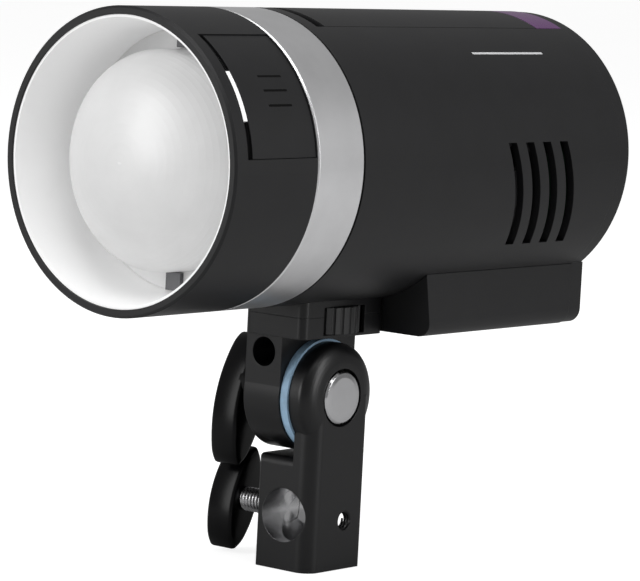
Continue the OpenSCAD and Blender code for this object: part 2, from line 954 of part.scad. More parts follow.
module lcd_module() color("#3f5f6f") {
    head_block([-lcd_w / 2 + 1, lcd_w / 2 - 1], [board_back, board_back + lcd_body_t],
        [lcd_z - lcd_h / 2 + 1, lcd_z + lcd_h / 2 - 1]);
}

module control_board() color("#1f5b3a") {
    along(board_at, board_back)
        difference() {
            intersection() {
                circle(r = board_r);
                translate([-body_r, board_low])
                    square([2 * body_r, body_d]);
            }
            for (side = [-1, 1])
                translate([side * side_screw[0], side_screw[1]])
                    circle(r = post_r + 0.3);
        }
}

module tact_switches() color("#b9bcc0") {
    for (x = button_row_x)
        tact_switch([x, button_row_z]);
    for (side = [-1, 1])
        tact_switch([side * big_button_x, big_button_z]);
    tact_switch([0, dial_z]);
}

module tact_switch(at) {
    along(board_back, board_back + switch_t)
        translate(at)
            square([4, 4], center = true);
}

module dial_encoder() color("#7d8085") {
    along(board_back, board_back + switch_t)
        translate([0, dial_z])
            ring2d(dial_sleeve_r + 1.6, dial_bore_r);
}

// A push button at [across, up]: its cap, and the flange that keeps it in the cover.
module push_button(at, r) {
    along(plate_at - 0.2 - flange_len, plate_at - 0.2)
        translate(at)
            circle(r = r + flange_w);
    along(plate_at - 0.21, rear_at + button_proud)
        translate(at)
            circle(r = r);
}

module control_dial() color("#2a2a2e") {
    turned_dial()
        polygon([[dial_bore_r, plate_at - 1.6], [dial_sleeve_r + 1, plate_at - 1.6],
            [dial_sleeve_r + 1, plate_at - 0.2], [dial_sleeve_r, plate_at - 0.2],
            [dial_sleeve_r, rear_at + dial_gap], [dial_r, rear_at + dial_gap],
            [dial_r, rear_at + dial_h - 0.8], [dial_r - 0.8, rear_at + dial_h],
            [dial_bore_r, rear_at + dial_h]]);
}

module turned_dial() {
    translate([light_x, front_y, light_z + dial_z])
        rotate([-90, 0, 0])
            rotate_extrude()
                children();
}

module set_button() color("#3b3b40") {
    turned_dial()
        translate([0, board_back + switch_t + button_travel + 0.1])
            square([set_r, rear_at + dial_h + 0.6 - board_back - switch_t - button_travel - 0.1]);
}

module test_button() color("#d9d9dc") {
    push_button([-big_button_x, big_button_z], big_button_r);
}

module power_button() color("#b5302a") {
    push_button([big_button_x, big_button_z], big_button_r);
}

module mode_button() color("#3b3b40") {
    push_button([button_row_x[0], button_row_z], button_r);
}

module group_button() color("#3b3b40") {
    push_button([button_row_x[1], button_row_z], button_r);
}

module lamp_button() color("#3b3b40") {
    push_button([button_row_x[2], button_row_z], button_r);
}

module sync_button() color("#3b3b40") {
    push_button([button_row_x[3], button_row_z], button_r);
}

module usb_socket() color("#b9bcc0") {
    along(rear_at - port_len, rear_at - 0.2)
        translate([usb_x, port_z])
            difference() {
                square([usb_w, usb_h], center = true);
                square([usb_w - 1, usb_h - 1], center = true);
            }
    head_block([usb_x - 3, usb_x + 3], [rear_at - port_len, rear_at - 2], [port_z - 0.35, port_z + 0.35]);
    head_block([usb_x - usb_w / 2, usb_x + usb_w / 2], [rear_at - port_len - 1, rear_at - port_len],
        [port_z - usb_h / 2, port_z + usb_h / 2]);
}

module sync_jack() color("#35353a") {
    along(rear_at - port_len, rear_at - 0.2)
        translate([jack_x, port_z])
            ring2d(jack_r, jack_bore);
    along(rear_at - port_len - 1, rear_at - port_len)
        translate([jack_x, port_z])
            circle(r = jack_r);
}

module port_cover() color("#1a1a1c") {
    low = port_z - port_cover_h / 2 + 0.3;
    head_block([-port_cover_w / 2 + 0.4, port_cover_w / 2 - 0.4], [rear_at + 0.1, rear_at + 0.1 + port_cover_t],
        [low + 1, port_z + port_cover_h / 2]);
    rod_x(1.1, light_x - port_cover_w / 2 + 0.4, light_x + port_cover_w / 2 - 0.4,
        front_y + rear_at + 1.2, light_z + low);
    rod_x(port_pin_r, light_x - port_cover_w / 2 - 2.1, light_x + port_cover_w / 2 + 2.1,
        front_y + rear_at + 1.2, light_z + low);
    head_block([-port_cover_w / 2 + 0.4, port_cover_w / 2 - 0.4], [rear_at + 0.4, rear_at + 0.1 + port_cover_t],
        [low, low + 1.2]);
}

module cover_screws() color("#8d9095") {
    for (side = [-1, 1]) {
        cover_screw([side * side_screw[0], side_screw[1]]);
        cover_screw([side * low_screw[0], low_screw[1]]);
    }
}

module cover_screw(at) {
    difference() {
        union() {
            along(rear_at - screw_head_t, rear_at - 0.2)
                translate(at)
                    circle(r = screw_head_r);
            along(rear_at - screw_head_t - screw_len, rear_at - screw_head_t)
                translate(at)
                    circle(r = screw_r);
        }
        along(rear_at - 1.1, rear_at + over)
            translate(at)
                circle(r = 1.1, $fn = 6);
    }
}

module wheel_room(gap) {
    translate([light_x, 0, wheel_z0 - 0.15])
        cylinder(r = wheel_room_r, h = wheel_room_z1 - wheel_z0 + 0.15);
    translate([plate_x0 - over, -wheel_window, wheel_z0 - 0.15])
        cube([plate_w + 2 * over, 2 * wheel_window, wheel_room_z1 - wheel_z0 + 0.15]);
}

module mount_boss() color("#1f1f22") {
    difference() {
        translate([light_x, 0, plate_z1])
            linear_extrude(boss_z1 - plate_z1)
                round_rect(plate_w, plate_len, plate_corner);
        wheel_room(0);
        translate([light_x, 0, insert_z0])
            cylinder(r = insert_r + 0.05, h = boss_z1);
        translate([light_x, 0, plate_z1 - over])
            cylinder(r = wheel_screw_r + 0.4, h = boss_z1);
    }
}

module mount_insert() color("#b08d3c") {
    translate([light_x, 0, insert_z0])
        difference() {
            cylinder(r = insert_r, h = boss_z1 - insert_z0);
            translate([0, 0, -over])
                cylinder(r = wheel_screw_r + run_gap, h = boss_z1);
        }
}

module mount_plate() color("#1f1f22") {
    difference() {
        translate([light_x, 0, plate_z0])
            linear_extrude(plate_t)
                round_rect(plate_w, plate_len, plate_corner);
        wheel_room(0);
    }
}

module thumbwheel() color("#161618") {
    translate([light_x, 0, wheel_z0])
        linear_extrude(wheel_h)
            difference() {
                circle(r = wheel_r);
                circle(r = wheel_screw_r + 0.05);
                for (i = [0 : wheel_grooves - 1])
                    rotate(i * 360 / wheel_grooves)
                        translate([wheel_r + 0.15, 0])
                            circle(r = wheel_groove_r);
            }
}

module wheel_screw() color("#a9acb1") {
    translate([light_x, 0, wheel_z0])
        cylinder(r = wheel_screw_r, h = wheel_screw_top - wheel_z0);
}

module tilt_block() color("#1f1f22") {
    difference() {
        across(plate_x0, block_x1) {
            translate([-block_half, pivot_h])
                square([2 * block_half, plate_z0 - pivot_h]);
            translate([0, pivot_h])
                circle(r = block_r);
        }
        rod_x(bolt_r + run_gap, plate_x0 - over, block_x1 + over, 0, pivot_h);
        translate([umbrella_x, -block_half - over, umbrella_z])
            rotate([-90, 0, 0])
                cylinder(r = umbrella_r, h = 2 * block_half + 2 * over);
        rod_x(umbrella_screw_r + run_gap, plate_x0 - over, umbrella_x, 0, umbrella_z);
    }
}

module umbrella_screw() color("#8d9095") {
    rod_x(umbrella_screw_r, plate_x0 - umbrella_knob_gap - 1, umbrella_x - umbrella_r - 0.3, 0, umbrella_z);
    rod_x(umbrella_knob_r, plate_x0 - umbrella_knob_gap - umbrella_knob_t, plate_x0 - umbrella_knob_gap,
        0, umbrella_z);
}

module friction_washer() color("#9dbbd4") {
    difference() {
        rod_x(washer_r, washer_x0, arm_x0, 0, pivot_h);
        rod_x(bolt_r + run_gap, washer_x0 - over, arm_x0 + over, 0, pivot_h);
    }
}

// The stand block's section, its near corner rounder than the rest.
module stand_section() {
    difference() {
        square([stand_w, stand_d], center = true);
        translate([stand_half, -depth_half])
            mirror([1, 0])
                corner_waste(near_r);
        translate([stand_half, depth_half])
            rotate(180)
                corner_waste(1.5);
        translate([-stand_half, -depth_half])
            corner_waste(1.2);
        translate([-stand_half, depth_half])
            mirror([0, 1])
                corner_waste(1.2);
    }
}

// The quarter oval that rounds the arm's head, from its flat edge in to its face.
function arm_points(inner, across, high) =
    [for (i = [0 : arm_steps])
        [inner + across * cos(90 * i / arm_steps), arm_edge + high * sin(90 * i / arm_steps)]];

module stand_bracket() color("#1e1e21") {
    difference() {
        union() {
            intersection() {
                linear_extrude(stand_top)
                    stand_section();
                across(-stand_half - over, stand_half + over)
                    difference() {
                        translate([-depth_half, 0])
                            square([stand_d, stand_top]);
                        translate([-depth_half, stand_top])
                            mirror([0, 1])
                                corner_waste(2.5);
                    }
            }
            intersection() {
                linear_extrude(pivot_h)
                    stand_section();
                translate([arm_x0, -stand_d, 0])
                    cube([stand_w, 2 * stand_d, pivot_h]);
            }
            translate([arm_x0, 0, pivot_h])
                rotate([0, 90, 0])
                    rotate_extrude()
                        polygon(concat([[0, 0], [arm_r, 0]],
                            arm_points(arm_flat_r, arm_r - arm_flat_r, arm_x1 - arm_x0 - arm_edge),
                            [[0, arm_x1 - arm_x0]]));
            rod_x(lock_boss_r, lock_boss_x, -stand_half + over, 0, lock_z);
        }
        translate([0, 0, -over])
            cylinder(r = socket_r, h = socket_len + over);
        translate([0, -stand_d, cross_h])
            rotate([-90, 0, 0])
                cylinder(r = cross_r, h = 2 * stand_d);
        rod_x(bolt_r + run_gap, arm_x0 - over, arm_x1 + over, 0, pivot_h);
        rod_x(cap_r + cap_ring, arm_x1 - cap_depth, arm_x1 + over, 0, pivot_h);
        rod_x(lock_r + run_gap, lock_boss_x - over, 0, 0, lock_z);
        rod_x(shoe_r + shoe_play, shoe_x0 - lock_travel - 0.05, 0, 0, lock_z);
        rod_x(side_hole_r, 0, stand_half + over, side_hole_y, side_hole_z);
    }
}

module tilt_bolt() color("#a9acb1") {
    rod_x(bolt_r, bolt_x0, arm_x1 - cap_depth + 0.6, 0, pivot_h);
}

module tilt_bolt_cap() color("#e3e5e8") {
    translate([arm_x1 - cap_depth, 0, pivot_h])
        rotate([0, 90, 0])
            rotate_extrude()
                polygon([[0, 0.6], [bolt_r + 0.2, 0.6], [bolt_r + 0.2, 0], [cap_r, 0],
                    [cap_r, cap_depth - 0.2], [cap_r - 0.6, cap_depth + cap_proud - 0.15],
                    [cap_r - 2, cap_depth + cap_proud], [0, cap_depth + cap_proud]]);
}

// A leaf with pointed ends cut blunt, long side along y, about its middle.
module leaf(half_len, half_w, blunt) {
    reach = half_len + blunt;
    r = (reach * reach + half_w * half_w) / (2 * half_w);
    intersection() {
        translate([r - half_w, 0])
            circle(r = r);
        translate([half_w - r, 0])
            circle(r = r);
        square([2 * half_w + over, 2 * half_len], center = true);
    }
}

module tilt_handle() color("#151517") {
    middle = (tilt_lever_up - tilt_lever_down) / 2;
    difference() {
        union() {
            translate([0, 0, pivot_h])
                rotate([-tilt_lean, 0, 0])
                    across(tilt_lever_x0, tilt_lever_x1)
                        translate([0, middle])
                            leaf((tilt_lever_up + tilt_lever_down) / 2, tilt_lever_half, 2.5);
            rod_x(tilt_hub_r, tilt_lever_x1 - 2, plate_x0 - face_gap, 0, pivot_h);
        }
        rod_x(bolt_r + run_gap, bolt_x0 - 0.3, plate_x0 + over, 0, pivot_h);
        rod_x(nut_r + 0.05, plate_x0 - face_gap - nut_t, plate_x0 + over, 0, pivot_h);
    }
}

module tilt_nut() color("#b08d3c") {
    difference() {
        rod_x(nut_r, plate_x0 - face_gap - nut_t, plate_x0 - face_gap - 0.02, 0, pivot_h);
        rod_x(bolt_r + run_gap, plate_x0 - nut_t - over, plate_x0 + over, 0, pivot_h);
    }
}

module clamp_shoe() color("#a9acb1") {
    difference() {
        rod_x(shoe_r, shoe_x0, -2, 0, lock_z);
        translate([0, 0, -over])
            cylinder(r = socket_r + 0.05, h = socket_len + 2 * over);
        translate([0, -stand_d, cross_h])
            rotate([-90, 0, 0])
                cylinder(r = cross_r + 0.05, h = 2 * stand_d);
    }
}

module stand_screw() color("#b4b7bb") {
    rod_x(lock_r, lock_x0, shoe_x0 - 0.03, 0, lock_z);
}

module stand_handle() color("#151517") {
    difference() {
        translate([0, 0, lock_z])
            rotate([-stand_lean, 0, 0])
                across(stand_lever_x0, stand_lever_x1)
                    leaf(stand_lever_half, stand_lever_w, 2);
        rod_x(lock_r + 0.02, lock_x0, stand_lever_x1 + over, 0, lock_z);
    }
}

front_barrel();
side_panel();
silver_ring();
reflector_liner();
glass_dome();
dome_clips();
flash_tube();
modelling_led();
lamp_base();
led_heatsink();
chassis_collar();
body_tube();
chin_housing();
chassis_tray();
power_board();
transformer();
main_capacitors();
fan_frame();
fan_rotor();
battery_bay();
bay_contacts();
battery_case();
battery_lid();
battery_cells();
battery_release();
rear_cover();
lcd_window();
lcd_module();
control_board();
tact_switches();
dial_encoder();
control_dial();
set_button();
test_button();
power_button();
mode_button();
group_button();
lamp_button();
sync_button();
usb_socket();
sync_jack();
port_cover();
cover_screws();
mount_boss();
mount_insert();
mount_plate();
thumbwheel();
wheel_screw();
tilt_block();
umbrella_screw();
friction_washer();
stand_bracket();
tilt_bolt();
tilt_bolt_cap();
tilt_handle();
tilt_nut();
clamp_shoe();
stand_screw();
stand_handle();
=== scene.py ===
"""Compact battery monolight on a tilting stand bracket, in a pale studio.

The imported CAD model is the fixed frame. Its nodes keep their shapes and get node materials,
and the fine parts that the CAD leaves plain, such as threads and marks, are built here.
Everything is in metres, in the CAD's frame: +Z up, the light faces -Y.
"""

import json
import math

import bmesh
import bpy
from mathutils import Matrix, Vector


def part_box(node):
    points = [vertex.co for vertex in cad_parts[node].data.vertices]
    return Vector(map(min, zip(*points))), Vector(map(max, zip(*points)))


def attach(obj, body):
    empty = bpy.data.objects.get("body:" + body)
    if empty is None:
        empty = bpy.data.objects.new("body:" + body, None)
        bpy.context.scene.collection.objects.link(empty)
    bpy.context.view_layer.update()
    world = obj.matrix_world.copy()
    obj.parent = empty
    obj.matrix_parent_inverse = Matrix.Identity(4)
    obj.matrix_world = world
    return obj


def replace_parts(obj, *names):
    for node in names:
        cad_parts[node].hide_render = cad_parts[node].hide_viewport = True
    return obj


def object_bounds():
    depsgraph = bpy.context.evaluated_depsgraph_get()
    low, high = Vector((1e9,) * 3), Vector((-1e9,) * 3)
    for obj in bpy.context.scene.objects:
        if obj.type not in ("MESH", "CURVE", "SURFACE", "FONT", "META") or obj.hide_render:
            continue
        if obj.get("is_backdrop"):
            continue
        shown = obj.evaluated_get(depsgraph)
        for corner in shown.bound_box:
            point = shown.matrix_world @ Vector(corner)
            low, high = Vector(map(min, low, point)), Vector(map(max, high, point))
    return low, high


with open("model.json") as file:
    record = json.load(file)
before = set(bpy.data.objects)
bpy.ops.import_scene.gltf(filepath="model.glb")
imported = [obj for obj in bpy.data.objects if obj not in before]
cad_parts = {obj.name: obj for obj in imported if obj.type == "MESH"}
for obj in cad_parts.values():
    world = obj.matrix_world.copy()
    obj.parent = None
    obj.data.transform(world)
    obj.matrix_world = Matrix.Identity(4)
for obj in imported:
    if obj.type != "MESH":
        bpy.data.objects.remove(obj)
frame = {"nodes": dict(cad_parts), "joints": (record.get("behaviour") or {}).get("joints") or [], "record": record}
cad_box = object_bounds()

MM = 0.001


# ---------------------------------------------------------------- places read from the frame

def middle(node):
    low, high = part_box(node)
    return (low + high) / 2


body_low, body_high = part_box("silver_ring")
AXIS_X = (body_low.x + body_high.x) / 2
AXIS_Z = (body_low.z + body_high.z) / 2
BODY_R = (body_high.x - body_low.x) / 2
FRONT_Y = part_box("front_barrel")[0].y
PIVOT = middle("friction_washer")


def round_body(radius, angle, y):
    """The point on the round body at that radius, angle up from its +X side, and y."""
    return Vector((AXIS_X + radius * math.cos(angle), y, AXIS_Z + radius * math.sin(angle)))


# ---------------------------------------------------------------- materials

def node(tree, kind, **inputs):
    """A new shader node with those input values; spaces in an input's name are underscores."""
    made = tree.nodes.new(kind)
    for name, value in inputs.items():
        made.inputs[name.replace("_", " ")].default_value = value
    return made


def scaled(colour, factor):
    return tuple(min(1.0, channel * factor) for channel in colour) + (1.0,)


def surface(name, colour, roughness, metallic=0.0, mottle=0.10, patch=9.0, grain=0.35,
            relief=0.004, uneven=0.05, edge=0.25, **sockets):
    """A material whose colour drifts in soft patches and whose roughness and height follow a fine grain.

    patch, grain, relief and edge are in millimetres: the size of the patches, the size and the
    height of the grain, and the radius that sharp edges are shaded with.
    """
    material = bpy.data.materials.new(name)
    material.use_nodes = True
    tree = material.node_tree
    link = tree.links.new
    shader = tree.nodes["Principled BSDF"]
    shader.inputs["Metallic"].default_value = metallic
    for socket, value in sockets.items():
        shader.inputs[socket.replace("_", " ")].default_value = value
    place = node(tree, "ShaderNodeTexCoord")

    drift = node(tree, "ShaderNodeTexNoise", Scale=1 / (patch * MM), Detail=3.0, Roughness=0.55)
    link(place.outputs["Object"], drift.inputs["Vector"])
    ramp = node(tree, "ShaderNodeValToRGB")
    ramp.color_ramp.elements[0].position = 0.3
    ramp.color_ramp.elements[1].position = 0.7
    ramp.color_ramp.elements[0].color = scaled(colour, 1 - mottle)
    ramp.color_ramp.elements[1].color = scaled(colour, 1 + mottle)
    link(drift.outputs["Fac"], ramp.inputs["Fac"])
    link(ramp.outputs["Color"], shader.inputs["Base Color"])

    fine = node(tree, "ShaderNodeTexNoise", Scale=1 / (grain * MM), Detail=2.0, Roughness=0.5)
    link(place.outputs["Object"], fine.inputs["Vector"])
    spread = node(tree, "ShaderNodeMapRange", To_Min=max(0.02, roughness - uneven),
                  To_Max=min(1.0, roughness + uneven))
    link(fine.outputs["Fac"], spread.inputs["Value"])
    link(spread.outputs["Result"], shader.inputs["Roughness"])

    round_edge = node(tree, "ShaderNodeBevel", Radius=edge * MM)
    round_edge.samples = 4
    bump = node(tree, "ShaderNodeBump", Strength=1.0, Distance=relief * MM)
    link(fine.outputs["Fac"], bump.inputs["Height"])
    link(round_edge.outputs["Normal"], bump.inputs["Normal"])
    link(bump.outputs["Normal"], shader.inputs["Normal"])
    return material


def washer_surface():
    """Light blue friction disc, with fine rings pressed round the tilt axis."""
    material = surface("washer_blue", (0.30, 0.46, 0.62), 0.62, mottle=0.12, patch=3.0,
                       grain=0.5, relief=0.03)
    tree = material.node_tree
    place = node(tree, "ShaderNodeTexCoord")
    shift = node(tree, "ShaderNodeVectorMath")
    shift.operation = "SUBTRACT"
    shift.inputs[1].default_value = PIVOT
    rings = node(tree, "ShaderNodeTexWave", Scale=170.0, Distortion=0.6, Detail=1.0)
    rings.wave_type = "RINGS"
    rings.rings_direction = "X"
    press = node(tree, "ShaderNodeBump", Strength=0.7, Distance=0.08 * MM)
    grain = next(n for n in tree.nodes if n.bl_idname == "ShaderNodeBump")
    link = tree.links.new
    link(place.outputs["Object"], shift.inputs[0])
    link(shift.outputs["Vector"], rings.inputs["Vector"])
    link(rings.outputs["Fac"], press.inputs["Height"])
    link(grain.outputs["Normal"], press.inputs["Normal"])
    link(press.outputs["Normal"], tree.nodes["Principled BSDF"].inputs["Normal"])
    return material


SURFACES = {
    "black_body": surface("black_body", (0.0065, 0.0065, 0.0072), 0.46, grain=0.30, relief=0.008,
                          Specular_IOR_Level=0.32),
    "black_metal": surface("black_metal", (0.0035, 0.0035, 0.004), 0.32, grain=0.25, relief=0.004,
                           edge=0.45, Specular_IOR_Level=0.34),
    "black_lever": surface("black_lever", (0.0015, 0.0015, 0.0018), 0.24, grain=0.30, relief=0.004,
                           edge=0.40, Specular_IOR_Level=0.14),
    "rubber_black": surface("rubber_black", (0.007, 0.007, 0.0075), 0.55, grain=0.25, relief=0.010,
                            edge=0.20),
    "silver": surface("silver", (0.76, 0.76, 0.77), 0.36, metallic=1.0, mottle=0.03, grain=0.20,
                      relief=0.003, uneven=0.04, edge=0.30),
    # Painted light: the liner's emission is a painted glow that lifts the deep white liner as if it were evenly
    # lit; the liner is no lamp.
    "white_liner": surface("white_liner", (0.84, 0.84, 0.84), 0.42,
                           Emission_Color=(1.0, 1.0, 1.0, 1.0), Emission_Strength=0.16,
                           mottle=0.02, grain=0.6,
                           relief=0.006),
    "frosted_glass": surface("frosted_glass", (0.80, 0.80, 0.80), 0.32, mottle=0.02, grain=0.18,
                             relief=0.003, Transmission_Weight=0.15, IOR=1.47),
    "tube_glass": surface("tube_glass", (0.90, 0.93, 0.95), 0.12, mottle=0.02,
                          Transmission_Weight=0.7, IOR=1.46),
    "led_yellow": surface("led_yellow", (0.86, 0.66, 0.16), 0.35, mottle=0.06, patch=1.5),
    "ceramic_white": surface("ceramic_white", (0.78, 0.77, 0.74), 0.55, mottle=0.04),
    "cast_alu": surface("cast_alu", (0.55, 0.56, 0.58), 0.42, metallic=1.0, mottle=0.06,
                        grain=0.5, relief=0.02),
    "sheet_steel": surface("sheet_steel", (0.48, 0.49, 0.50), 0.38, metallic=1.0, mottle=0.08),
    "steel": surface("steel", (0.58, 0.58, 0.59), 0.26, metallic=1.0, mottle=0.05, grain=0.2,
                     relief=0.003),
    "chrome": surface("chrome", (0.52, 0.52, 0.53), 0.12, metallic=1.0, mottle=0.03, grain=0.2,
                      relief=0.002, uneven=0.04, edge=0.4),
    "brass": surface("brass", (0.62, 0.44, 0.17), 0.30, metallic=1.0, mottle=0.08),
    "board_green": surface("board_green", (0.02, 0.11, 0.05), 0.45, mottle=0.20, patch=3.0),
    "copper_coil": surface("copper_coil", (0.55, 0.26, 0.10), 0.35, metallic=1.0, mottle=0.15,
                           patch=1.0),
    "cap_sleeve": surface("cap_sleeve", (0.03, 0.05, 0.13), 0.32, mottle=0.08),
    "cell_blue": surface("cell_blue", (0.05, 0.17, 0.48), 0.33, mottle=0.08),
    "purple": surface("purple", (0.075, 0.014, 0.095), 0.26, mottle=0.08, grain=0.25,
                      relief=0.003, edge=0.3),
    "washer_blue": washer_surface(),
    "display_glass": surface("display_glass", (0.80, 0.81, 0.82), 0.05, mottle=0.03,
                             uneven=0.02, relief=0.0005, Transmission_Weight=0.95, IOR=1.45),
    "lcd_panel": surface("lcd_panel", (0.30, 0.42, 0.42), 0.35, mottle=0.03,
                         Emission_Color=(0.45, 0.66, 0.66, 1.0), Emission_Strength=0.22),
    "key_dark": surface("key_dark", (0.030, 0.030, 0.033), 0.50, relief=0.008, edge=0.25),
    "key_light": surface("key_light", (0.50, 0.50, 0.51), 0.45, mottle=0.04, edge=0.25),
    "key_red": surface("key_red", (0.42, 0.03, 0.025), 0.42, mottle=0.06, edge=0.25),
    "fan_black": surface("fan_black", (0.010, 0.010, 0.011), 0.42, edge=0.2),
}
BARE_METAL = surface("bare_metal", (0.56, 0.56, 0.57), 0.24, metallic=1.0, mottle=0.08, grain=0.3,
                     relief=0.01)
CLIP_METAL = surface("clip_metal", (0.10, 0.10, 0.105), 0.38, metallic=0.6, mottle=0.12)
PANEL_INK = surface("panel_ink", (0.0015, 0.0015, 0.0015), 0.30, mottle=0.05, edge=0.05,
                    Specular_IOR_Level=0.10)


def paint(piece, slot):
    """Gives the piece the material of that slot alone."""
    piece.data.materials.clear()
    piece.data.materials.append(SURFACES[slot])


for subpart in frame["record"]["subparts"]:
    cad_node = frame["nodes"][subpart["node"]]
    cad_node.data.materials.clear()
    cad_node.data.materials.append(SURFACES[subpart["material_slot"]])



def machined_holes():
    """The stand block's stud holes are bare metal: the faces round their two axes change material."""
    block = frame["nodes"]["stand_bracket"].data
    block.materials.append(BARE_METAL)
    holes = {mount["name"]: mount for mount in frame["record"]["mounts"]}
    for name in ("stand_socket", "cross_socket"):
        mount = holes[name]
        axis = Vector(mount["axis"])
        reach = (mount["dims"]["r_mm"] + 0.1) * MM
        for face in block.polygons:
            offset = face.center - Vector(mount["pos_m"])
            across = offset - axis * offset.dot(axis)
            if across.length < reach and offset.z < mount["dims"]["length_mm"] * MM:
                face.material_index = 1


def dark_clips():
    """The dome's clips are a darker metal than the record's slot for them."""
    frame["nodes"]["dome_clips"].data.materials[0] = CLIP_METAL


machined_holes()
dark_clips()


# ---------------------------------------------------------------- mesh helpers

def skin(name, rings, slot, body, closed=False, material=None):
    """A closed mesh through rings of points, capped at both ends unless the rings form a loop.

    It rides on that body, and takes the record's slot, or the given material in place of one.
    """
    around = len(rings[0])
    points = [point for ring in rings for point in ring]
    faces = []
    steps = len(rings) if closed else len(rings) - 1
    for i in range(steps):
        here, there = i * around, ((i + 1) % len(rings)) * around
        for j in range(around):
            k = (j + 1) % around
            faces.append((here + j, here + k, there + k, there + j))
    if not closed:
        faces.append(tuple(range(around - 1, -1, -1)))
        faces.append(tuple(range((len(rings) - 1) * around, len(rings) * around)))
    mesh = bpy.data.meshes.new(name)
    mesh.from_pydata(points, [], faces)
    fix = bmesh.new()
    fix.from_mesh(mesh)
    bmesh.ops.recalc_face_normals(fix, faces=fix.faces)
    fix.to_mesh(mesh)
    fix.free()
    mesh.shade_smooth()
    mesh.set_sharp_from_angle(angle=math.radians(38))
    piece = bpy.data.objects.new(name, mesh)
    bpy.context.scene.collection.objects.link(piece)
    if material:
        mesh.materials.append(material)
    else:
        paint(piece, slot)
    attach(piece, body)
    return piece


def ring_x(x, y, z, radius, count):
    """A circle of points about an axis along X; radius may be a function of the angle."""
    points = []
    for i in range(count):
        angle = 2 * math.pi * i / count
        r = radius(angle) if callable(radius) else radius
        points.append(Vector((x, y + r * math.cos(angle), z + r * math.sin(angle))))
    return points


# ---------------------------------------------------------------- bracket details

def lock_screw():
    """The stand lever's screw with its thread: a triangular groove that winds round the axis."""
    low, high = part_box("stand_screw")
    middle_y, middle_z = (low.y + high.y) / 2, (low.z + high.z) / 2
    radius = (high.z - low.z) / 2
    pitch = 1.25 * MM
    depth = 0.7 * MM
    slices = 10
    count = round((high.x - low.x) / pitch * slices)
    rings = []
    for i in range(count + 1):
        x = low.x + (high.x - low.x) * i / count

        def groove(angle):
            phase = (x / pitch - angle / (2 * math.pi)) % 1.0
            return radius - depth * abs(2 * phase - 1)
        rings.append(ring_x(x, middle_y, middle_z, groove, 48))
    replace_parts(skin("lock_screw_thread", rings, "steel", "stand_lever"), "stand_screw")


def side_thread():
    """The thread inside the small hole in the block's side: one ridge that winds down the hole."""
    mount = next(m for m in frame["record"]["mounts"] if m["name"] == "side_thread")
    mouth = Vector(mount["pos_m"])
    radius = mount["dims"]["r_mm"] * MM
    pitch = 1.0 * MM
    turns = 3.0
    steps = 40
    rings = []
    for i in range(round(turns * steps) + 1):
        angle = 2 * math.pi * i / steps
        x = mouth.x - 0.25 * MM - pitch * i / steps
        out = Vector((0, math.cos(angle), math.sin(angle)))
        centre = Vector((x, mouth.y, mouth.z))
        rings.append([centre + out * (radius + 0.05 * MM) + Vector((-0.4 * pitch, 0, 0)),
                      centre + out * (radius - 0.55 * MM),
                      centre + out * (radius + 0.05 * MM) + Vector((0.4 * pitch, 0, 0))])
    skin("side_hole_thread", rings, "black_metal", "stand")


def leaf_outline(half_length, half_width, blunt, tip, inset):
    """Points round a leaf with round ends, long side along the second number, about its middle."""
    reach = half_length + blunt
    arc_r = (reach ** 2 + half_width ** 2) / (2 * half_width)
    length = half_length - inset
    side = []
    count = 40
    for i in range(count + 1):
        along = length * math.sin(math.pi * (i / count - 0.5))
        width = math.sqrt(arc_r ** 2 - along ** 2) - (arc_r - half_width) - inset
        beyond = abs(along) - (length - tip)
        if beyond > 0:
            width *= math.sqrt(max(0.0, 1 - (beyond / tip) ** 2))
        side.append((max(width, 0.02 * MM), along))
    return side + [(-width, along) for width, along in reversed(side)]


EDGE_SHARES = ((0, 1), (0.13, 0.5), (0.5, 0.13), (1, 0))


def lever(name, node_name, body, centre, lean, x_low, x_high, half_length, half_width, blunt):
    """A leaf-shaped lever with rounded edges, leaning its foot forward about an axis along X."""
    edge = 1.5 * MM
    tip = 3.2 * MM
    stations = [(x_low + along * edge, inset * edge) for along, inset in EDGE_SHARES]
    stations += [(x_high - along * edge, inset * edge) for along, inset in reversed(EDGE_SHARES)]
    rings = []
    for x, inset in stations:
        ring = []
        for across, along in leaf_outline(half_length, half_width, blunt, tip, inset):
            y = across * math.cos(lean) + along * math.sin(lean)
            z = along * math.cos(lean) - across * math.sin(lean)
            ring.append(Vector((x, centre.y + y, centre.z + z)))
        rings.append(ring)
    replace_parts(skin(name, rings, "black_lever", body), node_name)


def joint_place(name):
    return Vector(next(joint for joint in frame["joints"] if joint["name"] == name)["pos_m"])


def levers():
    """Both levers, with the hub that carries the tilt lever to the block."""
    thick = 10.5 * MM
    pivot = joint_place("tilt_lever_turn")
    lean = math.radians(14)
    above, below = 15.5 * MM, 26 * MM
    offset = (above - below) / 2
    centre = pivot + Vector((0, math.sin(lean) * offset, math.cos(lean) * offset))
    low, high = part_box("tilt_handle")
    lever("tilt_lever_leaf", "tilt_handle", "tilt_lever", centre, lean, low.x, low.x + thick,
          (above + below) / 2, 6.8 * MM, 2.5 * MM)
    tilt_hub(pivot.z, low.x + thick, high.x)
    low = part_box("stand_handle")[0]
    lever("stand_lever_leaf", "stand_handle", "stand_lever", joint_place("stand_lever_turn"),
          math.radians(15.5), low.x, low.x + thick, 16.3 * MM, 6.2 * MM, 2 * MM)


def tilt_hub(z, leaf_x, end_x):
    """The tube between the tilt lever's leaf and the block, with the bolt's hole in it."""
    hub_r = 6.5 * MM
    bore_r = 4.05 * MM
    chamfer = 0.4 * MM
    start_x = leaf_x - 2 * MM
    stations = ((start_x, bore_r), (start_x, hub_r), (end_x - chamfer, hub_r),
                (end_x, hub_r - chamfer), (end_x, bore_r))
    skin("tilt_lever_hub", [ring_x(x, 0, z, radius, 48) for x, radius in stations], "black_lever",
         "tilt_lever", closed=True)


lock_screw()
side_thread()
levers()


# ---------------------------------------------------------------- marks on the body

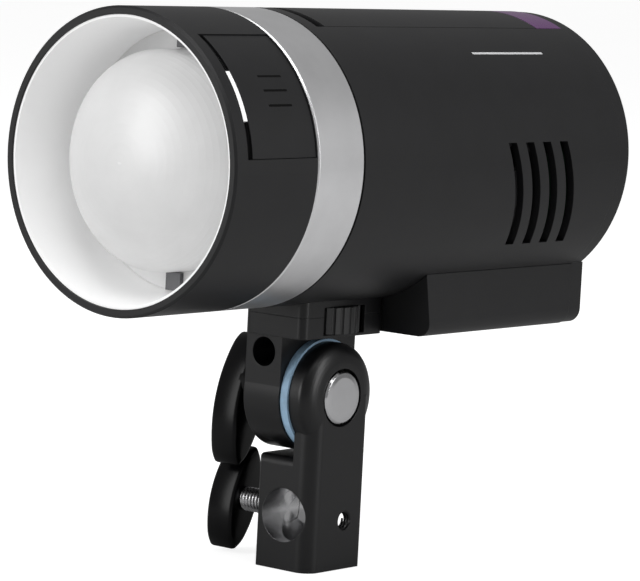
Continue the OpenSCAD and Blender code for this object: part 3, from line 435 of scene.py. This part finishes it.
def strip(name, radius, depth, low_angle, high_angle, start, end, slot, body, material=None):
    """A thin plate bent round the body, between two angles and two distances behind the front."""
    count = 12
    deep = radius - depth
    rings = []
    for i in range(count + 1):
        angle = low_angle + (high_angle - low_angle) * i / count
        rings.append([round_body(deep, angle, FRONT_Y + start),
                      round_body(radius, angle, FRONT_Y + start),
                      round_body(radius, angle, FRONT_Y + end),
                      round_body(deep, angle, FRONT_Y + end)])
    skin(name, rings, slot, body, material=material)


def body_marks():
    """A plain pale line on the body's side, and three short plain bars on the side panel."""
    depth = 0.08 * MM
    strip("side_line", BODY_R + 0.03 * MM, depth, math.radians(47.2), math.radians(48.3),
          124 * MM, 160 * MM, "key_light", "head")
    panel_r = BODY_R - 0.32 * MM
    width = math.radians(0.9)
    for i in range(3):
        low = math.radians(25 + 6 * i)
        strip(f"panel_bar_{i}", panel_r, depth, low, low + width, 18 * MM, 28 * MM,
              None, "head", material=PANEL_INK)


body_marks()


# ---------------------------------------------------------------- rear controls

def box_piece(name, low, high, slot, body):
    """A plain box between two corners."""
    corners = [(low.x, low.z), (high.x, low.z), (high.x, high.z), (low.x, high.z)]
    rings = [[Vector((x, y, z)) for x, z in corners] for y in (low.y, high.y)]
    skin(name, rings, slot, body)


DIGITS = {"0": "abcdef", "5": "acdfg"}
INK_DEPTH = 0.06 * MM


def digit(name, figure, left, base, height):
    """One seven-segment figure on the display's panel. From behind, left is towards +X."""
    width = height * 0.5
    line = height * 0.11
    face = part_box("lcd_module")[1].y
    spots = {"a": (0, height - line, width, line), "b": (width - line, height / 2, line, height / 2),
             "c": (width - line, 0, line, height / 2), "d": (0, 0, width, line),
             "e": (0, 0, line, height / 2), "f": (0, height / 2, line, height / 2),
             "g": (0, (height - line) / 2, width, line)}
    for segment in DIGITS[figure]:
        x, z, wide, high = spots[segment]
        low = Vector((left - x - wide, face, base + z))
        box_piece(f"{name}_{segment}", low, low + Vector((wide, INK_DEPTH, high)), "key_dark", "head")


def display():
    """The display's figures, and five bars that rise to the left as seen from behind."""
    low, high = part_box("lcd_module")
    height = 9 * MM
    base = (low.z + high.z) / 2 - height / 2
    digit("figure_left", "5", high.x - 8 * MM, base, height)
    digit("figure_right", "0", high.x - 16 * MM, base, height)
    for i in range(5):
        start = Vector((low.x + (6 + 3.2 * i) * MM, high.y, low.z + 4 * MM))
        size = Vector((2 * MM, INK_DEPTH, (13 - 2.2 * i) * MM))
        box_piece(f"level_bar_{i}", start, start + size, "key_dark", "head")


def dial_ridges():
    """Grip ridges round the dial's rim and a pale pointer on its face."""
    low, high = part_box("control_dial")
    x, z = (low.x + high.x) / 2, (low.z + high.z) / 2
    radius = (high.x - low.x) / 2
    foot_r = radius - 0.2 * MM
    crest_r = radius + 0.3 * MM
    ridges = 40
    for i in range(ridges):
        angle = 2 * math.pi * i / ridges
        out = Vector((math.cos(angle), 0, math.sin(angle)))
        side = Vector((-math.sin(angle), 0, math.cos(angle))) * 0.45 * MM
        rings = []
        for y in (high.y - 4.0 * MM, high.y - 1.0 * MM):
            centre = Vector((x, y, z))
            rings.append([centre + out * foot_r - side, centre + out * crest_r,
                          centre + out * foot_r + side])
        skin(f"dial_ridge_{i:02d}", rings, "key_dark", "dial")
    box_piece("dial_pointer", Vector((x - 0.4 * MM, high.y - 0.02 * MM, z + 8.2 * MM)),
              Vector((x + 0.4 * MM, high.y + 0.05 * MM, z + 11.2 * MM)), "key_light", "dial")


display()
dial_ridges()


# ---------------------------------------------------------------- studio

def floor():
    """A pale plane that is brighter to the camera than to the object, so it throws little light up."""
    bpy.ops.mesh.primitive_plane_add(size=60.0, location=(0, 0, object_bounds()[0].z - 0.2 * MM))
    plane = bpy.context.object
    plane.name = "floor"
    pale = surface("pale_floor", (0.50, 0.50, 0.50), 0.8, mottle=0.01, patch=400.0, grain=5.0,
                   relief=0.01, edge=0.1)
    tree = pale.node_tree
    shader = tree.nodes["Principled BSDF"]
    shader.inputs["Emission Color"].default_value = (1, 1, 1, 1)
    ray = node(tree, "ShaderNodeLightPath")
    glow = tree.nodes.new("ShaderNodeMath")
    glow.operation = "MULTIPLY_ADD"
    glow.inputs[1].default_value = 0.78
    glow.inputs[2].default_value = 0.02
    tree.links.new(ray.outputs["Is Camera Ray"], glow.inputs[0])
    tree.links.new(glow.outputs["Value"], shader.inputs["Emission Strength"])
    plane.data.materials.append(pale)
    plane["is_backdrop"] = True


def softbox(name, place, target, width, height, power):
    """A rectangular area light at place, facing target."""
    light = bpy.data.lights.new(name, "AREA")
    light.shape = "RECTANGLE"
    light.size = width
    light.size_y = height
    light.energy = power
    lamp = bpy.data.objects.new(name, light)
    lamp.location = place
    lamp.rotation_mode = "QUATERNION"
    lamp.rotation_quaternion = (Vector(target) - Vector(place)).to_track_quat("-Z", "Y")
    bpy.context.scene.collection.objects.link(lamp)


def surroundings():
    """White to the camera, and dim even light to the object."""
    world = bpy.data.worlds.new("studio")
    bpy.context.scene.world = world
    world.use_nodes = True
    tree = world.node_tree
    room = tree.nodes["Background"]
    room.inputs["Color"].default_value = (1, 1, 1, 1)
    room.inputs["Strength"].default_value = 0.30
    backdrop = node(tree, "ShaderNodeBackground", Color=(1, 1, 1, 1), Strength=1.0)
    ray = node(tree, "ShaderNodeLightPath")
    mix = node(tree, "ShaderNodeMixShader")
    tree.links.new(ray.outputs["Is Camera Ray"], mix.inputs["Fac"])
    tree.links.new(room.outputs["Background"], mix.inputs[1])
    tree.links.new(backdrop.outputs["Background"], mix.inputs[2])
    tree.links.new(mix.outputs["Shader"], tree.nodes["World Output"].inputs["Surface"])


def camera():
    """The photograph's view: a long lens from the light's front left, a little above it."""
    azimuth = math.radians(39.31)
    elevation = math.radians(6.21)
    roll = math.radians(2.97)
    back = Vector((math.sin(azimuth) * math.cos(elevation),
                   -math.cos(azimuth) * math.cos(elevation), math.sin(elevation)))
    level = Vector((math.cos(azimuth), math.sin(azimuth), 0))
    rise = back.cross(level)
    right = level * math.cos(roll) + rise * math.sin(roll)
    up = rise * math.cos(roll) - level * math.sin(roll)
    turn = Matrix((right, up, back)).transposed()
    data = bpy.data.cameras.new("camera")
    data.sensor_width = 36
    data.lens = 201.8
    data.clip_start = 0.01
    data.clip_end = 100
    lens = bpy.data.objects.new("camera", data)
    lens.rotation_mode = "QUATERNION"
    lens.rotation_quaternion = turn.to_quaternion()
    lens.location = (0.6876, -0.8403, 0.2030)
    bpy.context.scene.collection.objects.link(lens)
    bpy.context.scene.camera = lens


floor()
surroundings()
centre = (cad_box[0] + cad_box[1]) / 2
softbox("key_top", (0.3, -0.2, 1.3), centre, 1.0, 1.4, 14)
softbox("fill_front", (-0.6, -1.5, 0.6), centre, 0.8, 1.2, 16)
softbox("side_right", (1.6, 0.5, 0.5), centre, 0.5, 1.3, 12)
camera()
bpy.context.scene.view_settings.view_transform = "Standard"
